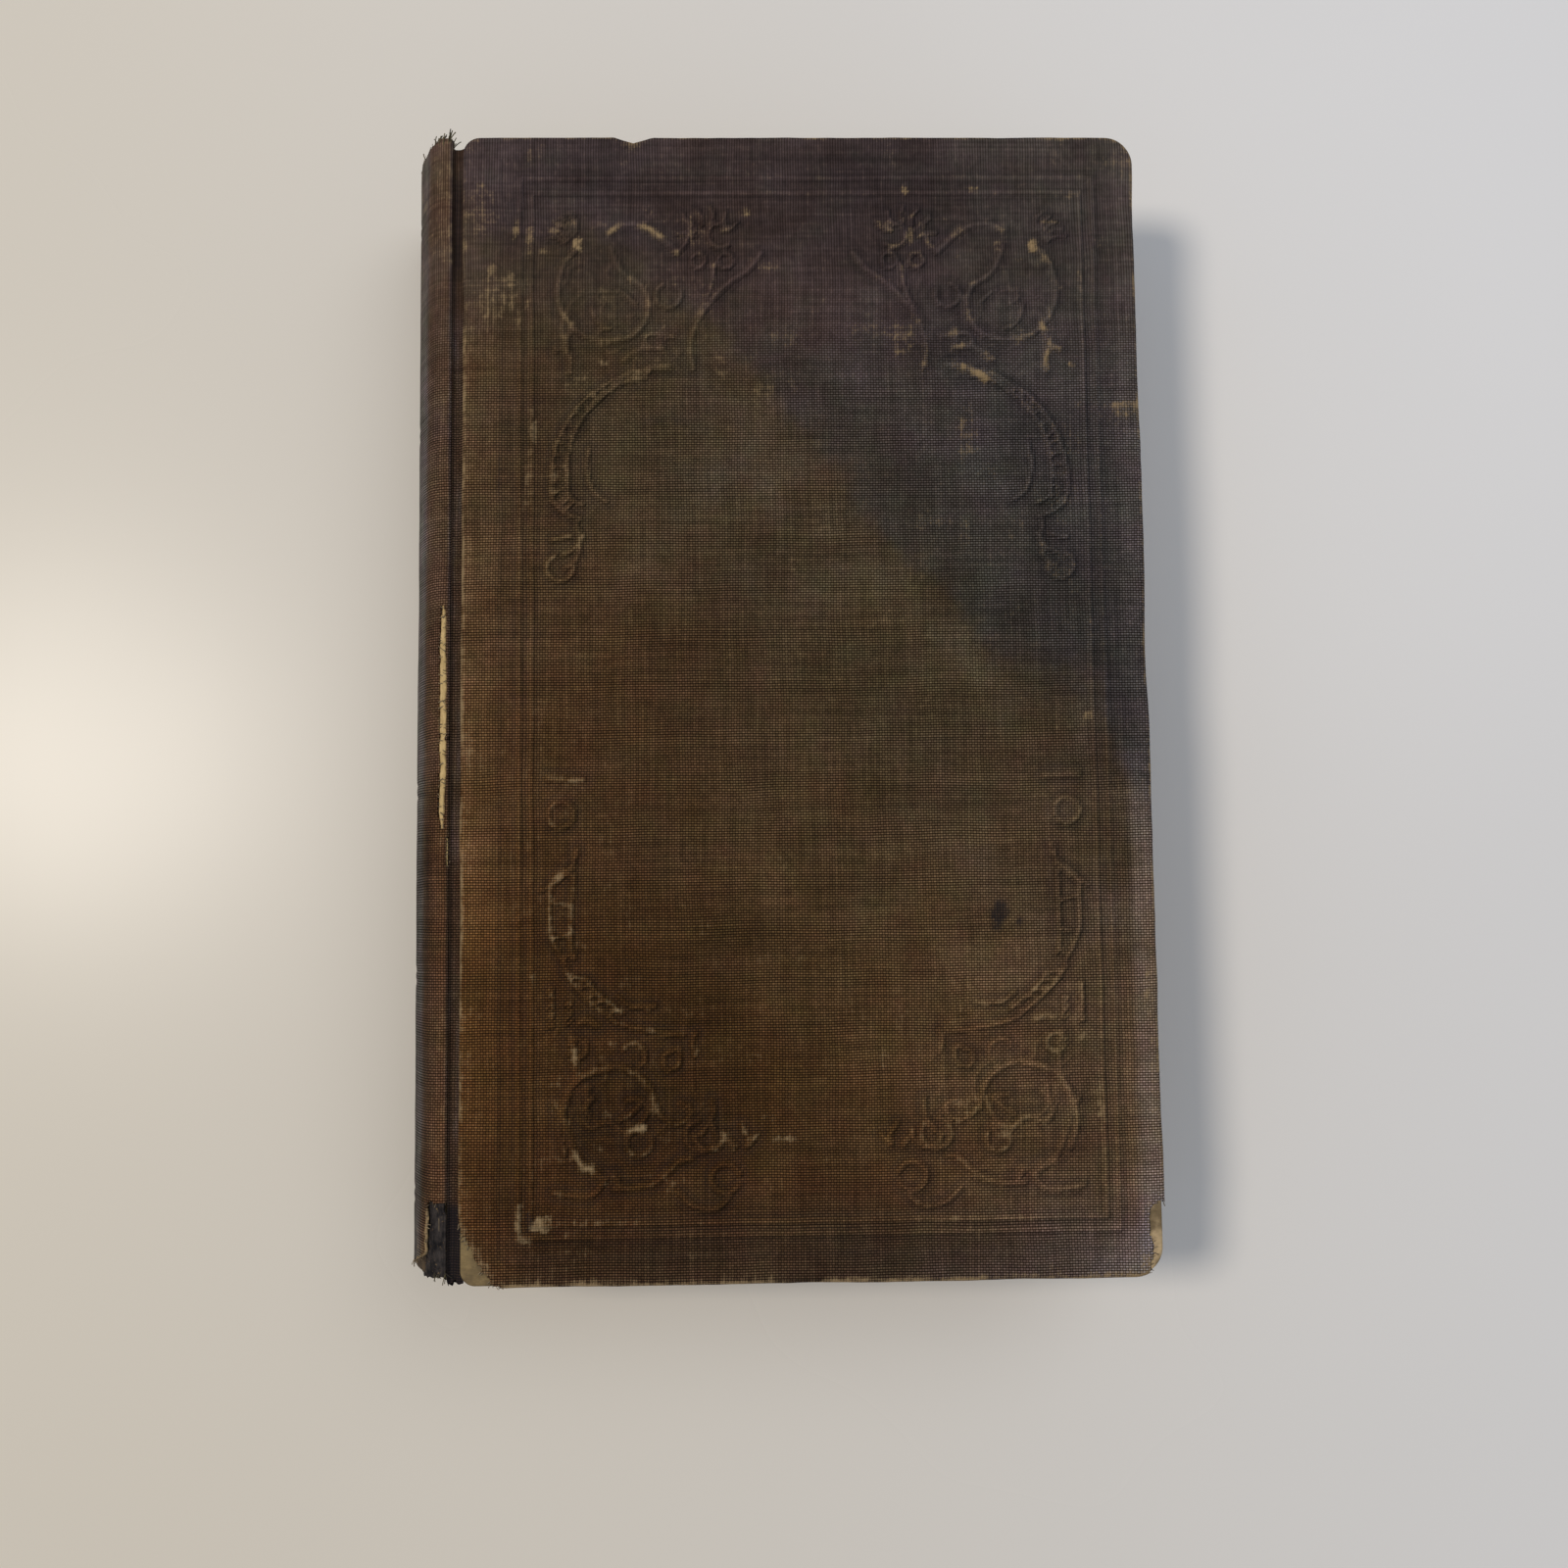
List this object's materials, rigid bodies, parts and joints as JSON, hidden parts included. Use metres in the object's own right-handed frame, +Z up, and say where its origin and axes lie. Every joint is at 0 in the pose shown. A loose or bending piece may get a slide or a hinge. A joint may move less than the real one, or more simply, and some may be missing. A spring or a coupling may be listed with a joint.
{
  "type": "hardback book",
  "caption": "Hardback book with a rounded cloth spine, hinged covers around a block of leaves, endpapers, and a worn stamped scroll frame on its front cover.",
  "frame": {"origin": "middle of the closed book's footprint, on the face of the back cover that it lies on", "axes": "+X from the spine to the fore-edge, +Y from the tail to the head, +Z up from the back cover to the front cover"},
  "size_m": [0.1234, 0.1908, 0.0319],
  "materials": {
    "book_cloth": "worn brown book cloth",
    "board": "tan millboard",
    "leaves": "aged paper edges",
    "endpaper": "aged endpaper",
    "mull": "coarse backing cloth",
    "spine_paper": "brown lining paper",
    "inlay_card": "dark card",
    "sewing_cord": "hemp cord"
  },
  "bodies": {
    "text_block": {"text_block": "leaves", "sewing_cords": "sewing_cord", "front_flyleaf": "endpaper", "back_flyleaf": "endpaper", "spine_mull": "mull", "spine_lining": "spine_paper", "spine_inlay": "inlay_card", "spine_cloth": "book_cloth"},
    "front_cover": {"front_board": "board", "front_cloth": "book_cloth", "front_pastedown": "endpaper", "front_mull_flange": "mull"},
    "back_cover": {"back_board": "board", "back_cloth": "book_cloth", "back_pastedown": "endpaper", "back_mull_flange": "mull"}
  },
  "joints": [
    {"name": "front_cover_hinge", "type": "hinge", "parent": "text_block", "child": "front_cover", "pos_m": [-0.0529, 0, 0.0316], "axis": [0, -1, 0], "range_deg": [0, 180]},
    {"name": "back_cover_hinge", "type": "hinge", "parent": "text_block", "child": "back_cover", "pos_m": [-0.0529, 0, 0.0003], "axis": [0, 1, 0], "range_deg": [0, 180]}
  ]
}
